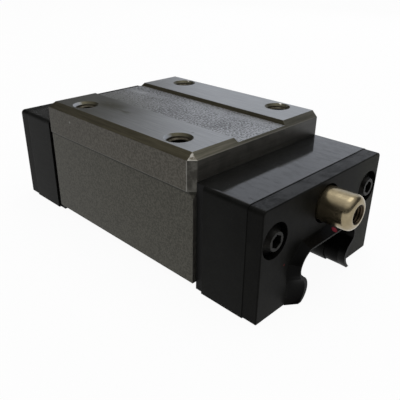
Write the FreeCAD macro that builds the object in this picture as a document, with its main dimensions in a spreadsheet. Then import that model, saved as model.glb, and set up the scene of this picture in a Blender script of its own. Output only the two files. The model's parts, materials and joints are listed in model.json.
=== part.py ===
import FreeCAD, Part
import math
import operator
import os
import Sketcher
from FreeCAD import Placement, Rotation, Vector

# A four-row recirculating-ball carriage for a profiled rail. X is the direction of travel, with the
# grease nipple at the +X end, Y is the width and Z is up. The origin is the centre of the four
# mounting holes, in the plane of the two mounting pads. Lengths are millimetres.

SIZES = [
    ("steel_length", 40.4, "steel body, along the rail"),
    ("steel_width", 34.0, "steel body, over the ground band"),
    ("steel_height", 22.7, "steel body, mounting pads to underside"),
    ("edge_chamfer", 1.1, "chamfers round the top and down the band's front corners"),
    ("corner_runout", 1.2, "height over which those corner chamfers run out below the band"),
    ("foot_chamfer", 0.12, "chamfer along the lower edges"),
    ("band_height", 6.2, "ground reference band, down from the pads"),
    ("band_step", 0.2, "how far the band stands proud of the side"),
    ("recess_width", 13.2, "recess between the mounting pads"),
    ("recess_depth", 0.7, "depth of that recess"),
    ("recess_slant", 0.35, "how far each wall of the recess leans"),
    ("bolt_pitch_x", 26.0, "mounting holes, along the rail"),
    ("bolt_pitch_y", 26.0, "mounting holes, across the rail"),
    ("bolt_bore", 4.0, "mounting thread, major diameter"),
    ("bolt_depth", 6.0, "mounting thread, depth"),
    ("bolt_countersink", 4.9, "mouth of each mounting hole"),
    ("thread_gap", 0.05, "room round a screw in its hole, on the radius"),
    ("cut_margin", 1.0, "how far a cutting outline runs past the material"),
    ("wall_half", 8.9, "half the opening between the legs, above the feet"),
    ("foot_half", 8.1, "half the opening between the feet"),
    ("crown_height", 9.2, "underside of the crown, above the underside"),
    ("race_bevel", 0.7, "bevels that carry the upper races"),
    ("foot_bevel_rise", 0.1, "bevels that carry the lower races, above the middle of the lower rows"),
    ("ball_diameter", 3.175, "balls"),
    ("race_gap", 0.06, "room round a ball, on the radius"),
    ("ball_gap", 0.03, "room between two balls in a row"),
    ("row_half", 7.8, "half the distance between the loaded rows"),
    ("upper_row", 8.1, "upper rows, above the underside"),
    ("lower_row", 2.6, "lower rows, above the underside"),
    ("return_offset", 5.1, "a loaded row to its return row"),
    ("return_gap", 0.13, "extra room in the return bores, on the radius"),
    ("guide_margin", 2.05, "return guide, beyond the rows it turns"),
    ("guide_gap", 0.03, "room round a return guide"),
    ("rail_top_half", 5.75, "rail outline, half the top"),
    ("rail_top", 8.3, "rail outline, top above the underside"),
    ("rail_nose_half", 7.85, "rail outline, half the widest part"),
    ("rail_shoulder", 6.2, "rail outline, upper end of the nose"),
    ("rail_nose", 4.8, "rail outline, lower end of the nose"),
    ("rail_waist_half", 7.0, "rail outline, half the width at the groove ends"),
    ("rail_waist", 4.0, "rail outline, upper end of the groove"),
    ("shoulder_bulge", 0.33, "rail outline, rise of the shoulder arc"),
    ("nose_bulge", 0.12, "rail outline, rise of the nose arc"),
    ("groove_bulge", 1.35, "rail outline, depth of the groove arc"),
    ("outline_spread", 0.4, "share of a clearance that an outline's corners move"),
    ("cap_clearance", 0.45, "end cap to rail"),
    ("cap_depth", 10.4, "end cap, along the rail"),
    ("cap_inset", 0.5, "end cap, in from the steel body's side"),
    ("cap_top", 4.55, "end cap, down from the mounting pads"),
    ("cap_drop", 1.4, "end cap, below the steel body"),
    ("cap_round", 0.8, "rounding of the end cap's upper corners"),
    ("cap_foot_round", 0.2, "rounding of the end cap's lower corners"),
    ("neck_depth", 1.7, "end cap's neck against the steel body, along the rail"),
    ("neck_inset", 0.5, "end cap's neck, in from the end cap's sides"),
    ("seal_depth", 2.8, "end seal, along the rail"),
    ("seal_inset", 0.06, "end seal, in from the end cap's sides and top"),
    ("seal_lift", 0.2, "end seal, up from the end cap's lower edge"),
    ("seal_clearance", 0.55, "end seal's plate to rail"),
    ("seal_round", 0.2, "rounding of the end seal's outer edges"),
    ("lip_reach", 1.63, "lip, out from the plate"),
    ("lip_root", 0.7, "lip, thickness where it leaves the plate, over the rail"),
    ("lip_root_half", 9.35, "lip, half its width where it leaves the plate"),
    ("lip_edge", 0.3, "lip, thickness at its edge"),
    ("lip_foot", 0.45, "lip, extra thickness at the lower ends of its edge"),
    ("lip_lift", 0.3, "lip, rise of its lower ends towards the edge"),
    ("screw_inset", 3.25, "cap screws, in from the end cap's sides"),
    ("screw_height", 12.4, "cap screws, above the underside"),
    ("screw_bore", 3.0, "cap screws, thread diameter"),
    ("screw_length", 16.0, "cap screws, under the head"),
    ("screw_clearance", 0.2, "cap screws in the end cap, on the radius"),
    ("screw_tap_spare", 2.0, "cap screws' threads, beyond the screw's point"),
    ("head_diameter", 5.7, "cap screws, button head"),
    ("head_height", 1.65, "cap screws, head height"),
    ("head_face", 3.1, "cap screws, flat face of the head"),
    ("head_rim", 0.3, "cap screws, straight rim under the dome"),
    ("head_bulge", 0.225, "cap screws, rise of the dome's arc"),
    ("screw_tip", 0.5, "cap screws, bevel at the point"),
    ("head_proud", 0.25, "cap screws, head beyond the seal's plate"),
    ("head_room", 0.1, "counterbore round a head, on the radius"),
    ("socket_width", 2.0, "cap screws and plug, socket across its flats"),
    ("socket_depth", 1.0, "cap screws and plug, depth of the socket"),
    ("port_height", 13.8, "grease ports, above the underside"),
    ("port_bore", 4.0, "grease ports, thread diameter"),
    ("port_depth", 6.0, "grease ports, depth in the end cap"),
    ("port_window", 0.35, "end seal's hole round the nipple, on the radius"),
    ("oil_bore", 1.6, "oil bore behind a port"),
    ("oil_width", 1.2, "oil grooves, width"),
    ("oil_depth", 0.8, "oil grooves, depth"),
    ("nipple_diameter", 6.0, "nipple, outside"),
    ("nipple_reach", 5.5, "nipple, beyond the seal's plate"),
    ("nipple_nose", 1.25, "nipple, radius of the nose"),
    ("nipple_bore", 3.05, "nipple, bore in the nose"),
    ("nipple_bore_depth", 4.2, "nipple, depth of that bore"),
    ("nipple_throat", 1.4, "nipple, bore right through"),
    ("nipple_shank", 5.0, "nipple, thread length"),
    ("shank_bevel", 0.35, "nipple, bevel at the end of the thread"),
    ("plug_length", 4.0, "plug, length"),
    ("plug_recess", 0.3, "plug, below the end cap's face"),
    ("plug_bevel", 0.4, "plug, bevels at both ends"),
    ("retainer_gap", 0.05, "retainers and bottom seals to the steel body"),
    ("centre_half", 8.0, "half the distance between the centre retainers"),
    ("centre_low", 3.65, "centre retainers, lower edge"),
    ("centre_high", 7.05, "centre retainers, upper edge"),
    ("top_half", 6.8, "half the width of the top retainer"),
    ("top_thickness", 0.6, "top retainer, thickness"),
    ("bottom_half", 6.5, "half the distance between the bottom retainers"),
    ("bottom_high", 1.7, "bottom retainers, upper edge"),
    ("bottom_lean", 0.4, "bottom retainers, how far the foot of the inner wall stands back"),
    ("bottom_seal_half", 7.6, "half the distance between the bottom seals"),
    ("bottom_seal_width", 3.9, "bottom seals, width"),
    ("bottom_seal_depth", 0.65, "bottom seals, thickness"),
    ("bottom_seal_edge", 0.2, "bottom seals, thickness at the rail"),
]

OPERATORS = {"+": operator.add, "-": operator.sub, "*": operator.mul, "/": operator.truediv}


class Size:
    """A number together with the spreadsheet expression that gives it."""

    def __init__(self, value, text):
        self.value = value
        self.text = text

    def __add__(self, other):
        return join(self, "+", other)

    def __radd__(self, other):
        return join(other, "+", self)

    def __sub__(self, other):
        return join(self, "-", other)

    def __rsub__(self, other):
        return join(other, "-", self)

    def __mul__(self, other):
        return join(self, "*", other)

    def __rmul__(self, other):
        return join(other, "*", self)

    def __truediv__(self, other):
        return join(self, "/", other)

    def __neg__(self):
        return join(0, "-", self)


def as_size(number):
    return number if isinstance(number, Size) else Size(float(number), str(float(number)))


def join(left, sign, right):
    left = as_size(left)
    right = as_size(right)
    return Size(OPERATORS[sign](left.value, right.value), f"({left.text} {sign} {right.text})")


def make_sheet(doc):
    """The spreadsheet of driving sizes, and the same sizes by name."""
    sheet = doc.addObject("Spreadsheet::Sheet", "Sizes")
    named = {}
    for row, (alias, value, note) in enumerate(SIZES, 1):
        sheet.set(f"A{row}", note)
        sheet.set(f"B{row}", str(value))
        sheet.setAlias(f"B{row}", alias)
        named[alias] = Size(value, f"Sizes.{alias}")
    return named


os.makedirs("parts", exist_ok=True)
doc = FreeCAD.newDocument("bearing_block")
size = make_sheet(doc)
doc.recompute()

# Places that several pieces share.
underside = -size["steel_height"]
steel_end = size["steel_length"] / 2
cap_face = steel_end + size["cap_depth"]
seal_face = cap_face + size["seal_depth"]
side = size["steel_width"] / 2
cap_side = side - size["cap_inset"]
cap_bottom = underside - size["cap_drop"]
seal_side = cap_side - size["seal_inset"]
seal_top = -size["cap_top"] - size["seal_inset"]
seal_bottom = cap_bottom + size["seal_lift"]
screw_half = cap_side - size["screw_inset"]
ball_radius = size["ball_diameter"] / 2
race_radius = ball_radius + size["race_gap"]
turn_radius = size["return_offset"] / 2
return_radius = race_radius + size["return_gap"]
return_half = size["row_half"] + size["return_offset"]
turn_half = size["row_half"] + turn_radius
row_heights = [underside + size["upper_row"], underside + size["lower_row"]]
screw_height = underside + size["screw_height"]
port_height = underside + size["port_height"]
head_seat = seal_face + size["head_proud"] - size["head_height"]
counterbore = size["head_diameter"] / 2 + size["head_room"]
guide_low = row_heights[1] - size["guide_margin"]
guide_high = row_heights[0] + size["guide_margin"]
tap_depth = size["screw_length"] - (head_seat - steel_end) + size["screw_tap_spare"]


def bind(thing, path, amount):
    """Ties one property of an object to the spreadsheet."""
    thing.setExpression(path, as_size(amount).text)


def new_body(name):
    body = doc.addObject("PartDesign::Body", name)
    body.Label = name
    return body


def new_sketch(body, name, role, shift=0, across=0, turn=0):
    """A sketch on one of the body's own origin planes, moved along the plane's normal and across it,
    and turned about its upright axis by an angle in degrees."""
    sketch = body.newObject("Sketcher::SketchObject", name)
    plane = next(item for item in body.Origin.OriginFeatures if item.Role == role)
    sketch.AttachmentSupport = [(plane, "")]
    sketch.MapMode = "FlatFace"
    sketch.AttachmentOffset = Placement(Vector(0, 0, 0), Rotation(Vector(0, 1, 0), turn))
    bind(sketch, "AttachmentOffset.Base.z", shift)
    bind(sketch, "AttachmentOffset.Base.x", across)
    return sketch


def pin(sketch, edge, end, x, y):
    """Holds one point of a sketch at x and y, which may be negative, from the sketch's origin."""
    for kind, amount, axis in (("DistanceX", as_size(x), -2), ("DistanceY", as_size(y), -1)):
        if amount.value == 0:
            sketch.addConstraint(Sketcher.Constraint("PointOnObject", edge, end, axis))
        else:
            number = sketch.addConstraint(Sketcher.Constraint(kind, -1, 1, edge, end, amount.value))
            bind(sketch, f"Constraints[{number}]", amount)


def set_radius(sketch, edge, radius):
    number = sketch.addConstraint(Sketcher.Constraint("Radius", edge, radius.value))
    bind(sketch, f"Constraints[{number}]", radius)


def ring(sketch, x, y, radius):
    """A full circle."""
    centre = Vector(as_size(x).value, as_size(y).value, 0)
    edge = sketch.addGeometry(Part.Circle(centre, Vector(0, 0, 1), radius.value))
    set_radius(sketch, edge, radius)
    pin(sketch, edge, 3, x, y)


def outline(sketch, points):
    """A closed outline. A point (x, y) is reached by a line. A point (x, y, rise, bow) is reached by
    an arc that rises that far from its chord, to the left of the way there if bow is 1 and to the
    right if it is -1. The arc's radius is chord squared over eight rises, plus half the rise."""
    places = [Vector(as_size(point[0]).value, as_size(point[1]).value, 0) for point in points]
    ends = []
    for number, point in enumerate(points):
        before = points[number - 1]
        start = places[number - 1]
        stop = places[number]
        if len(point) == 2:
            edge = sketch.addGeometry(Part.LineSegment(start, stop))
        else:
            rise, bow = point[2:]
            chord = stop - start
            left = Vector(-chord.y, chord.x, 0).normalize()
            middle = (start + stop) / 2 + left * bow * rise.value
            edge = sketch.addGeometry(Part.Arc(start, middle, stop))
            run_x = point[0] - before[0]
            run_y = point[1] - before[1]
            set_radius(sketch, edge, (run_x * run_x + run_y * run_y) / (8 * rise) + rise / 2)
        forward = sketch.getPoint(edge, 1).distanceToPoint(start) < 1e-6
        ends.append((edge, 1, 2) if forward else (edge, 2, 1))
    for number, (edge, first, last) in enumerate(ends):
        next_edge, next_first, _ = ends[(number + 1) % len(ends)]
        sketch.addConstraint(Sketcher.Constraint("Coincident", edge, last, next_edge, next_first))
        pin(sketch, edge, last, points[number][0], points[number][1])


def rectangle(sketch, x0, y0, x1, y1):
    outline(sketch, [(x0, y0), (x1, y0), (x1, y1), (x0, y1)])


def pad(body, sketch, length):
    feature = body.newObject("PartDesign::Pad", sketch.Name + "_pad")
    feature.Profile = sketch
    bind(feature, "Length", length)
    doc.recompute()
    return feature


def must_cut(body, volume, feature):
    if body.Shape.Volume >= volume - 1e-6:
        raise RuntimeError(f"{feature.Name} cuts nothing from {body.Label}")


def pocket(body, sketch, depth=None, backwards=False, both=False):
    """Cuts a sketch's outline from the body, against the sketch's normal unless backwards, to the
    depth given or right through."""
    volume = body.Shape.Volume
    feature = body.newObject("PartDesign::Pocket", sketch.Name + "_cut")
    feature.Profile = sketch
    if both:
        feature.SideType = "Symmetric"
    feature.Reversed = backwards
    if depth is None:
        feature.Type = "ThroughAll"
    else:
        bind(feature, "Length", depth)
    doc.recompute()
    must_cut(body, volume, feature)
    return feature


def upright_axis(sketch, x):
    """A construction line at x, to turn an outline about. On the YZ plane an outline on its -Y side
    turns through +X."""
    foot = Vector(x.value, 0, 0)
    axis = sketch.addGeometry(Part.LineSegment(foot, foot + Vector(0, 1, 0)), True)
    pin(sketch, axis, 1, x, 0)
    pin(sketch, axis, 2, x, 1)


def revolve(body, sketch, axis, kind="Revolution", angle=360):
    """Turns a sketch's outline round one of the sketch's axes."""
    volume = body.Shape.Volume if kind == "Groove" else 0
    feature = body.newObject("PartDesign::" + kind, sketch.Name + "_turn")
    feature.Profile = sketch
    feature.ReferenceAxis = (sketch, [axis])
    feature.Angle = angle
    doc.recompute()
    if kind == "Groove":
        must_cut(body, volume, feature)
    return feature


def edge_names(feature, test):
    """Names of the edges whose bounding box passes a test."""
    names = []
    for number, edge in enumerate(feature.Shape.Edges, 1):
        if test(edge.BoundBox):
            names.append(f"Edge{number}")
    return names


def soften(body, kind, name, base, names, amount):
    """A fillet or a chamfer on the named edges."""
    feature = body.newObject("PartDesign::" + kind, name)
    feature.Base = (base, names)
    bind(feature, "Radius" if kind == "Fillet" else "Size", amount)
    doc.recompute()
    return feature


def turned(body, end):
    """Puts a piece modelled for the +X end at that end (1) or at the -X end (-1)."""
    angle = 0 if end == 1 else 180
    body.Placement = Placement(Vector(0, 0, 0), Rotation(Vector(0, 0, 1), angle))
    return body


def near(one, other):
    return abs(one - other.value) < 1e-4


def rail_opening(clearance, floor, foot_room=None):
    """The opening round the rail, from the lower right corner over the top to the lower left one.
    Each side has a shoulder and a nose that bow away from the rail and a round bump into its groove.
    The lower ends may have more room than the rest."""
    spread = size["outline_spread"] * clearance
    low_half = size["rail_waist_half"] + clearance
    if foot_room is not None:
        low_half = low_half + foot_room
    foot = (low_half, floor)
    waist = (low_half, underside + size["rail_waist"] - spread)
    nose = (size["rail_nose_half"] + clearance, underside + size["rail_nose"] - spread)
    shoulder = (size["rail_nose_half"] + clearance, underside + size["rail_shoulder"] + spread)
    top = (size["rail_top_half"] + spread, underside + size["rail_top"] + clearance)
    groove_bulge = size["groove_bulge"]
    nose_bulge = size["nose_bulge"]
    shoulder_bulge = size["shoulder_bulge"]
    return [
        foot,
        (*waist, groove_bulge, 1),
        nose,
        (*shoulder, nose_bulge, -1),
        (*top, shoulder_bulge, -1),
        (-top[0], top[1]),
        (-shoulder[0], shoulder[1], shoulder_bulge, -1),
        (-nose[0], nose[1], nose_bulge, -1),
        (-waist[0], waist[1]),
        (-foot[0], foot[1], groove_bulge, 1),
    ]


def backwards_path(points):
    """The same open path walked from its last point to its first."""
    path = [points[-1][:2]]
    for number in range(len(points) - 1, 0, -1):
        arc = points[number][2:]
        place = points[number - 1][:2]
        path.append((*place, arc[0], -arc[1]) if arc else place)
    return path


def steel_body():
    """One hardened and ground steel block. Its legs carry the races and the return bores."""
    body = new_body("steel_body")
    foot = size["foot_chamfer"]
    foot_half = size["foot_half"]
    wall_half = size["wall_half"]
    bevel = size["race_bevel"]
    crown = underside + size["crown_height"]
    low_bevel = underside + size["lower_row"] + size["foot_bevel_rise"]
    right_wall = [
        (foot_half, underside),
        (foot_half, low_bevel - (wall_half - foot_half)),
        (wall_half, low_bevel),
        (wall_half, crown - bevel),
        (wall_half - bevel, crown),
    ]
    left_wall = [(-y, z) for y, z in reversed(right_wall)]
    outside = [
        (-side + foot, underside),
        (-side, underside + foot),
        (-side, 0),
        (side, 0),
        (side, underside + foot),
        (side - foot, underside),
    ]
    section = new_sketch(body, "steel_section", "YZ_Plane", -steel_end)
    outline(section, right_wall + left_wall + outside)
    block = pad(body, section, size["steel_length"])

    def top_or_front_corner(box):
        round_the_top = near(box.ZMin, as_size(0))
        down_a_corner = box.ZLength > size["steel_height"].value / 2
        outer = abs(box.YMin) > size["wall_half"].value and near(box.XMin, steel_end)
        return round_the_top or (down_a_corner and outer)

    soften(body, "Chamfer", "steel_edges", block, edge_names(block, top_or_front_corner), size["edge_chamfer"])

    margin = size["cut_margin"]
    below_band = new_sketch(body, "below_band", "YZ_Plane", steel_end)
    for hand in (-1, 1):
        outer = hand * (side + margin)
        inner = hand * (side - size["band_step"])
        rectangle(below_band, inner, underside - margin, outer, -size["band_height"])
    pocket(body, below_band)

    # Below the band the front corners are square, and the corner chamfers run out on a slope.
    chamfer = size["edge_chamfer"]
    lower_side = side - size["band_step"]
    runout_end = -size["band_height"] - size["corner_runout"]
    square = new_sketch(body, "square_corners", "XY_Plane", underside)
    for hand in (-1, 1):
        outline(square, [(steel_end - chamfer - margin, hand * lower_side), (steel_end, hand * lower_side),
                         (steel_end, hand * (lower_side - chamfer - margin)),
                         (steel_end - chamfer - margin, hand * (lower_side - chamfer - margin))])
    pad(body, square, size["steel_height"] - size["band_height"])
    for hand in (-1, 1):
        runout = new_sketch(body, "corner_runout", "YZ_Plane", steel_end, hand * side, -45 * hand)
        outline(runout, [(-hand * chamfer * math.sqrt(0.5), -size["band_height"]), (as_size(0), runout_end),
                         (hand * margin, runout_end), (hand * margin, -size["band_height"])])
        pocket(body, runout, 4 * chamfer, both=True)

    recess = new_sketch(body, "pad_recess", "YZ_Plane", steel_end)
    half = size["recess_width"] / 2
    floor_half = half - size["recess_slant"]
    floor = -size["recess_depth"]
    outline(recess, [(-floor_half, floor), (floor_half, floor), (half, 0),
                     (half, margin), (-half, margin), (-half, 0)])
    pocket(body, recess)

    races = new_sketch(body, "races", "YZ_Plane", steel_end)
    returns = new_sketch(body, "return_bores", "YZ_Plane", steel_end)
    for hand in (-1, 1):
        for height in row_heights:
            ring(races, hand * size["row_half"], height, race_radius)
            ring(returns, hand * return_half, height, return_radius)
    pocket(body, races)
    pocket(body, returns)

    for end, role_shift in ((1, steel_end), (-1, -steel_end)):
        taps = new_sketch(body, "cap_threads", "YZ_Plane", role_shift)
        for hand in (-1, 1):
            ring(taps, hand * screw_half, screw_height, size["screw_bore"] / 2 + size["thread_gap"])
        pocket(body, taps, tap_depth, backwards=end == -1)

    mounts = new_sketch(body, "mounting_holes", "XY_Plane")
    for hand_x in (-1, 1):
        for hand_y in (-1, 1):
            place = (hand_x * size["bolt_pitch_x"] / 2, hand_y * size["bolt_pitch_y"] / 2)
            ring(mounts, *place, size["bolt_bore"] / 2)
    holes = pocket(body, mounts, size["bolt_depth"])

    def mouth(box):
        return near(box.ZMax, as_size(0)) and near(box.ZMin, as_size(0)) and near(box.XLength, size["bolt_bore"])

    soften(body, "Chamfer", "countersinks", holes, edge_names(holes, mouth),
           (size["bolt_countersink"] - size["bolt_bore"]) / 2)
    return body


def soften_corners(body, name, block, length, half, low, top):
    """Rounds the four outer corners of an end piece: the upper ones fully, the lower ones a little."""
    feature = block
    for word, height, radius in (("top", top, size["cap_round"]), ("foot", low, size["cap_foot_round"])):
        def corner(box):
            along = near(box.XLength, length)
            outer = near(max(abs(box.YMin), abs(box.YMax)), half)
            return along and outer and near(box.ZMin, height) and near(box.ZMax, height)

        feature = soften(body, "Fillet", f"{name}_{word}_corners", feature, edge_names(feature, corner), radius)
    return feature


def end_cap(name, end):
    """A moulded end cap with a narrower neck against the steel body. It holds the outside halves of
    the turnarounds, seats for the return guides, screw holes, a threaded grease port and the oil
    grooves that lead from it to both sides."""
    body = new_body(name)
    section = new_sketch(body, name + "_section", "YZ_Plane", steel_end)
    opening = rail_opening(size["cap_clearance"], cap_bottom)
    top = -size["cap_top"]
    outline(section, opening + [(-cap_side, cap_bottom), (-cap_side, top),
                                (cap_side, top), (cap_side, cap_bottom)])
    block = pad(body, section, size["cap_depth"])

    soften_corners(body, name, block, size["cap_depth"], cap_side, cap_bottom, as_size(top))

    for hand in (-1, 1):
        neck = new_sketch(body, name + "_neck", "YZ_Plane", steel_end)
        rectangle(neck, hand * (cap_side - size["neck_inset"]), cap_bottom - size["cut_margin"],
                  hand * (cap_side + size["cut_margin"]), top + size["cut_margin"])
        pocket(body, neck, size["neck_depth"], backwards=True)

    for hand in (-1, 1):
        turns = new_sketch(body, name + "_turns", "YZ_Plane", steel_end)
        seat = new_sketch(body, name + "_seat", "YZ_Plane", steel_end)
        upright_axis(turns, hand * turn_half)
        upright_axis(seat, hand * turn_half)
        for height in row_heights:
            ring(turns, hand * turn_half - turn_radius, height, return_radius)
        rectangle(seat, hand * turn_half - turn_radius - size["guide_gap"], guide_low - size["guide_gap"],
                  hand * turn_half, guide_high + size["guide_gap"])
        revolve(body, turns, "Axis0", "Groove", 180)
        revolve(body, seat, "Axis0", "Groove", 180)

    grooves = new_sketch(body, name + "_oil_grooves", "YZ_Plane", steel_end)
    half = size["oil_width"] / 2
    outside = turn_half + half
    inside = turn_half - half
    outline(grooves, [(-outside, guide_high), (-inside, guide_high), (-inside, port_height - half),
                      (inside, port_height - half), (inside, guide_high), (outside, guide_high),
                      (outside, port_height + half), (-outside, port_height + half)])
    pocket(body, grooves, size["oil_depth"], backwards=True)

    bores = new_sketch(body, name + "_bores", "YZ_Plane", cap_face)
    port = new_sketch(body, name + "_port", "YZ_Plane", cap_face)
    for hand in (-1, 1):
        ring(bores, hand * screw_half, screw_height, size["screw_bore"] / 2 + size["screw_clearance"])
    ring(bores, 0, port_height, size["oil_bore"] / 2)
    ring(port, 0, port_height, size["port_bore"] / 2 + size["thread_gap"])
    pocket(body, bores)
    pocket(body, port, size["port_depth"])
    return turned(body, end)


def return_guide(name, end, hand):
    """Half a spool that carries the inside of the two turnarounds at one corner."""
    body = new_body(name)
    spool = new_sketch(body, name + "_section", "YZ_Plane", steel_end)
    upright_axis(spool, hand * turn_half)
    rectangle(spool, hand * turn_half - turn_radius, guide_low, hand * turn_half, guide_high)
    revolve(body, spool, "Axis0", "Revolution", 180)
    turns = new_sketch(body, name + "_turns", "YZ_Plane", steel_end)
    upright_axis(turns, hand * turn_half)
    for height in row_heights:
        ring(turns, hand * turn_half - turn_radius, height, race_radius)
    revolve(body, turns, "Axis0", "Groove", 180)
    return turned(body, end)


def end_seal(name, end):
    """A moulded seal: a plate with the screws' counterbores and a window for the nipple, and a lip
    that flares outwards and closes in on the rail."""
    body = new_body(name)
    clearance = size["seal_clearance"]
    section = new_sketch(body, name + "_section", "YZ_Plane", cap_face)
    opening = rail_opening(clearance, seal_bottom)
    outline(section, opening + [(-seal_side, seal_bottom), (-seal_side, seal_top),
                                (seal_side, seal_top), (seal_side, seal_bottom)])
    plate = pad(body, section, size["seal_depth"])

    rounded = soften_corners(body, name, plate, size["seal_depth"], seal_side, seal_bottom, seal_top)

    def front_edge(box):
        at_front = near(box.XMin, seal_face) and near(box.XMax, seal_face)
        at_top = box.ZMax > seal_top.value - size["cap_round"].value - 1e-4
        at_side = max(abs(box.YMin), abs(box.YMax)) > seal_side.value - size["cap_round"].value - 1e-4
        return at_front and (at_top or at_side)

    soften(body, "Fillet", name + "_front", rounded, edge_names(rounded, front_edge), size["seal_round"])

    root = new_sketch(body, name + "_lip_root", "YZ_Plane", seal_face)
    edge = new_sketch(body, name + "_lip_edge", "YZ_Plane", seal_face + size["lip_reach"])
    spread = size["outline_spread"] * (clearance + size["lip_root"])
    shoulder = underside + size["rail_shoulder"] + spread
    crown_half = size["rail_top_half"] + spread
    crown = underside + size["rail_top"] + clearance + size["lip_root"]
    root_half = size["lip_root_half"]
    waist = underside + size["rail_waist"] - spread
    nose = underside + size["rail_nose"] - spread
    heights = [seal_bottom, waist, nose, shoulder]
    root_outside = [(root_half, height) for height in heights] + [(crown_half, crown), (-crown_half, crown)]
    root_outside += [(-root_half, height) for height in reversed(heights)]
    outline(root, opening + backwards_path(root_outside))
    tip = seal_bottom + size["lip_lift"]
    edge_inside = rail_opening(as_size(0), tip)
    outline(edge, edge_inside + backwards_path(rail_opening(size["lip_edge"], tip, size["lip_foot"])))
    lip = body.newObject("PartDesign::AdditiveLoft", name + "_lip")
    lip.Profile = root
    lip.Sections = [edge]
    lip.Ruled = True
    doc.recompute()

    heads = new_sketch(body, name + "_counterbores", "YZ_Plane", seal_face)
    holes = new_sketch(body, name + "_holes", "YZ_Plane", seal_face)
    for hand in (-1, 1):
        ring(heads, hand * screw_half, screw_height, counterbore)
        ring(holes, hand * screw_half, screw_height, size["screw_bore"] / 2 + size["screw_clearance"])
    ring(holes, 0, port_height, size["nipple_diameter"] / 2 + size["port_window"])
    pocket(body, holes)
    pocket(body, heads, seal_face - head_seat)
    return turned(body, end)


def socket(body, name, face, depth):
    """A hexagon socket sunk into a face that looks along +X."""
    sketch = new_sketch(body, name + "_socket", "YZ_Plane", face)
    flat = size["socket_width"] / 2
    corner = flat / math.cos(math.pi / 6)
    outline(sketch, [(0, -corner), (flat, -corner / 2), (flat, corner / 2),
                     (0, corner), (-flat, corner / 2), (-flat, -corner / 2)])
    pocket(body, sketch, depth)


def cap_screw():
    """A button-head screw along X, its head's underside in the plane X = 0."""
    body = new_body("cap_screw")
    sketch = new_sketch(body, "screw_profile", "XZ_Plane")
    radius = size["screw_bore"] / 2
    head = size["head_diameter"] / 2
    tip = size["screw_length"]
    bevel = size["screw_tip"]
    outline(sketch, [(-tip, 0), (size["head_height"], 0), (size["head_height"], size["head_face"] / 2),
                     (size["head_rim"], head, size["head_bulge"], 1), (0, head), (0, radius),
                     (-tip + bevel, radius), (-tip, radius - bevel)])
    revolve(body, sketch, "H_Axis")
    socket(body, "cap_screw", size["head_height"], size["socket_depth"])
    return body


def screw_pair(name, end, screw):
    """The two cap screws of one end."""
    copies = []
    for hand in (-1, 1):
        copy = doc.addObject("App::Link", f"{name}_{'left' if hand == 1 else 'right'}")
        copy.LinkedObject = screw
        copy.Placement = Placement(Vector(0, 0, 0), Rotation(Vector(0, 0, 1), 0 if end == 1 else 180))
        bind(copy, "Placement.Base.x", end * head_seat)
        bind(copy, "Placement.Base.y", hand * screw_half)
        bind(copy, "Placement.Base.z", screw_height)
        copies.append(copy)
    pair = doc.addObject("Part::Compound", name)
    pair.Label = name
    pair.Links = copies
    return pair


def grease_nipple():
    """A turned nipple, threaded into the front port, with a bull nose and a stepped bore."""
    body = new_body("grease_nipple")
    sketch = new_sketch(body, "nipple_profile", "XZ_Plane")
    shank = size["port_bore"] / 2
    outside = size["nipple_diameter"] / 2
    throat = size["nipple_throat"] / 2
    bore = size["nipple_bore"] / 2
    nose = size["nipple_nose"]
    face = seal_face + size["nipple_reach"]
    back = cap_face - size["nipple_shank"]
    floor = face - size["nipple_bore_depth"]
    bevel = size["shank_bevel"]
    quarter_rise = nose * (1 - math.sqrt(0.5))
    outline(sketch, [(back, throat), (floor, throat), (floor, bore), (face, bore), (face, outside - nose),
                     (face - nose, outside, quarter_rise, -1), (cap_face, outside), (cap_face, shank),
                     (back + bevel, shank), (back, shank - bevel)])
    revolve(body, sketch, "H_Axis")
    bind(body, "Placement.Base.z", port_height)
    return body


def lube_plug():
    """The set screw that closes the rear grease port."""
    body = new_body("rear_lube_plug")
    sketch = new_sketch(body, "plug_profile", "XZ_Plane")
    radius = size["port_bore"] / 2
    bevel = size["plug_bevel"]
    face = cap_face - size["plug_recess"]
    back = face - size["plug_length"]
    outline(sketch, [(back, 0), (face, 0), (face, radius - bevel), (face - bevel, radius),
                     (back + bevel, radius), (back, radius - bevel)])
    revolve(body, sketch, "H_Axis")
    socket(body, "plug", face, size["socket_depth"] * 2)
    turned(body, -1)
    bind(body, "Placement.Base.z", port_height)
    return body


def strip(name, points, hand, heights=()):
    """A moulded strip along the steel body, with a channel for each ball row that it holds."""
    body = new_body(name)
    section = new_sketch(body, name + "_section", "YZ_Plane", -steel_end)
    outline(section, [(hand * y, z) for y, z in points])
    pad(body, section, size["steel_length"])
    if heights:
        channels = new_sketch(body, name + "_channels", "YZ_Plane", steel_end)
        for height in heights:
            ring(channels, hand * size["row_half"], height, race_radius)
        pocket(body, channels)
    return body


def retainers_and_seals(word, hand):
    """The three strips of one side."""
    outer = size["wall_half"] - size["retainer_gap"]
    low = underside + size["centre_low"]
    high = underside + size["centre_high"]
    inner = size["centre_half"]
    strip(f"{word}_centre_retainer", [(inner, low), (outer, low), (outer, high), (inner, high)], hand, row_heights)

    outer = size["foot_half"] - size["retainer_gap"]
    inner = size["bottom_half"]
    low = underside + size["retainer_gap"]
    high = underside + size["bottom_high"]
    strip(f"{word}_bottom_retainer", [(inner + size["bottom_lean"], low), (outer, low), (outer, high), (inner, high)],
          hand, row_heights[1:])

    inner = size["bottom_seal_half"]
    outer = inner + size["bottom_seal_width"]
    low = underside - size["bottom_seal_depth"]
    strip(f"{word}_bottom_seal", [(inner, underside - size["bottom_seal_edge"]), (size["foot_half"], low),
                                  (outer, low), (outer, underside), (inner, underside)], hand)


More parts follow.
